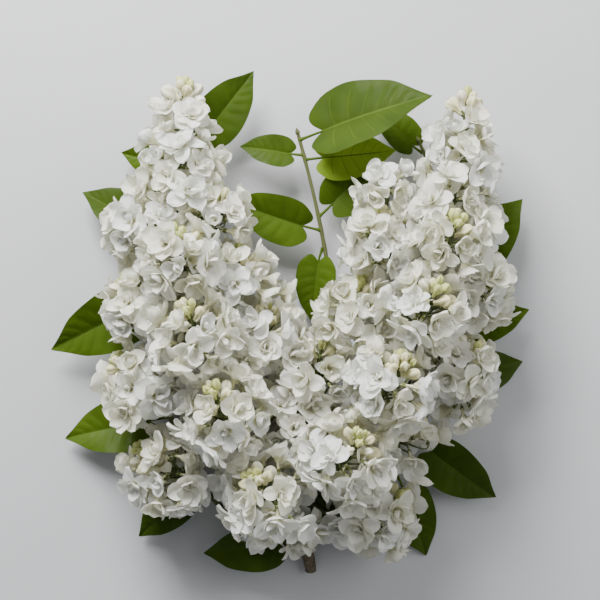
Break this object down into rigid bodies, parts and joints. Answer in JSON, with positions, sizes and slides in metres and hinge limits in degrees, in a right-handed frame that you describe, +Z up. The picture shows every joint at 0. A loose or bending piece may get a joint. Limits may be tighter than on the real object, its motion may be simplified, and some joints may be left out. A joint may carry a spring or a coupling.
{
  "type": "cut double lilac sprig",
  "caption": "Cut sprig of white double lilac, lying flat: dense flower heads in a V on a short woody stem, over shoots with heart-shaped leaves.",
  "frame": {"origin": "on the surface that the sprig lies on, under the middle of its bounding box", "axes": "+Y from the cut end of the stem towards the tips of the flower heads, +X to the right seen from above, +Z up"},
  "size_m": [0.2794, 0.2945, 0.1036],
  "materials": {
    "bark": "rough brown-grey bark with pale pores",
    "green_stem": "smooth, satin young stem",
    "blossom": "soft matt white petals, with cream green buds",
    "leaf": "satin green leaf, slightly glossy above"
  },
  "bodies": {
    "root": {"woody_stem": "bark", "left_head_axis": "green_stem", "right_head_axis": "green_stem", "middle_shoot": "green_stem", "left_shoot": "green_stem", "right_shoot": "green_stem", "left_cluster_1_lower": "blossom", "left_cluster_1_upper": "blossom", "left_cluster_2_inner": "blossom", "left_cluster_2_outer": "blossom", "left_cluster_3_lower": "blossom", "left_cluster_3_upper": "blossom", "left_cluster_4_inner": "blossom", "left_cluster_4_outer": "blossom", "left_cluster_5_lower": "blossom", "left_cluster_5_upper": "blossom", "left_cluster_6_inner": "blossom", "left_cluster_6_outer": "blossom", "left_cluster_7_lower": "blossom", "left_cluster_7_upper": "blossom", "left_cluster_8_inner": "blossom", "left_cluster_8_outer": "blossom", "left_cluster_tip": "blossom", "right_cluster_1_outer": "blossom", "right_cluster_2_lower": "blossom", "right_cluster_2_upper": "blossom", "right_cluster_3_inner": "blossom", "right_cluster_3_outer": "blossom", "right_cluster_4_lower": "blossom", "right_cluster_4_upper": "blossom", "right_cluster_5_inner": "blossom", "right_cluster_5_outer": "blossom", "right_cluster_6_lower": "blossom", "right_cluster_6_upper": "blossom", "right_cluster_7_inner": "blossom", "right_cluster_7_outer": "blossom", "right_cluster_8_lower": "blossom", "right_cluster_8_upper": "blossom", "right_cluster_tip": "blossom", "left_shoot_leaf_1": "leaf", "left_shoot_leaf_2": "leaf", "left_shoot_leaf_3": "leaf", "left_shoot_leaf_4": "leaf", "left_shoot_leaf_5": "leaf", "left_shoot_leaf_6": "leaf", "middle_shoot_leaf_1": "leaf", "middle_shoot_leaf_2": "leaf", "middle_shoot_leaf_3": "leaf", "middle_shoot_leaf_4": "leaf", "middle_shoot_leaf_5": "leaf", "middle_shoot_leaf_6": "leaf", "right_shoot_leaf_1": "leaf", "right_shoot_leaf_2": "leaf", "right_shoot_leaf_3": "leaf", "right_shoot_leaf_4": "leaf", "right_shoot_leaf_5": "leaf", "right_shoot_leaf_6": "leaf", "stem_leaf_1": "leaf", "stem_leaf_2": "leaf"}
  },
  "joints": []
}
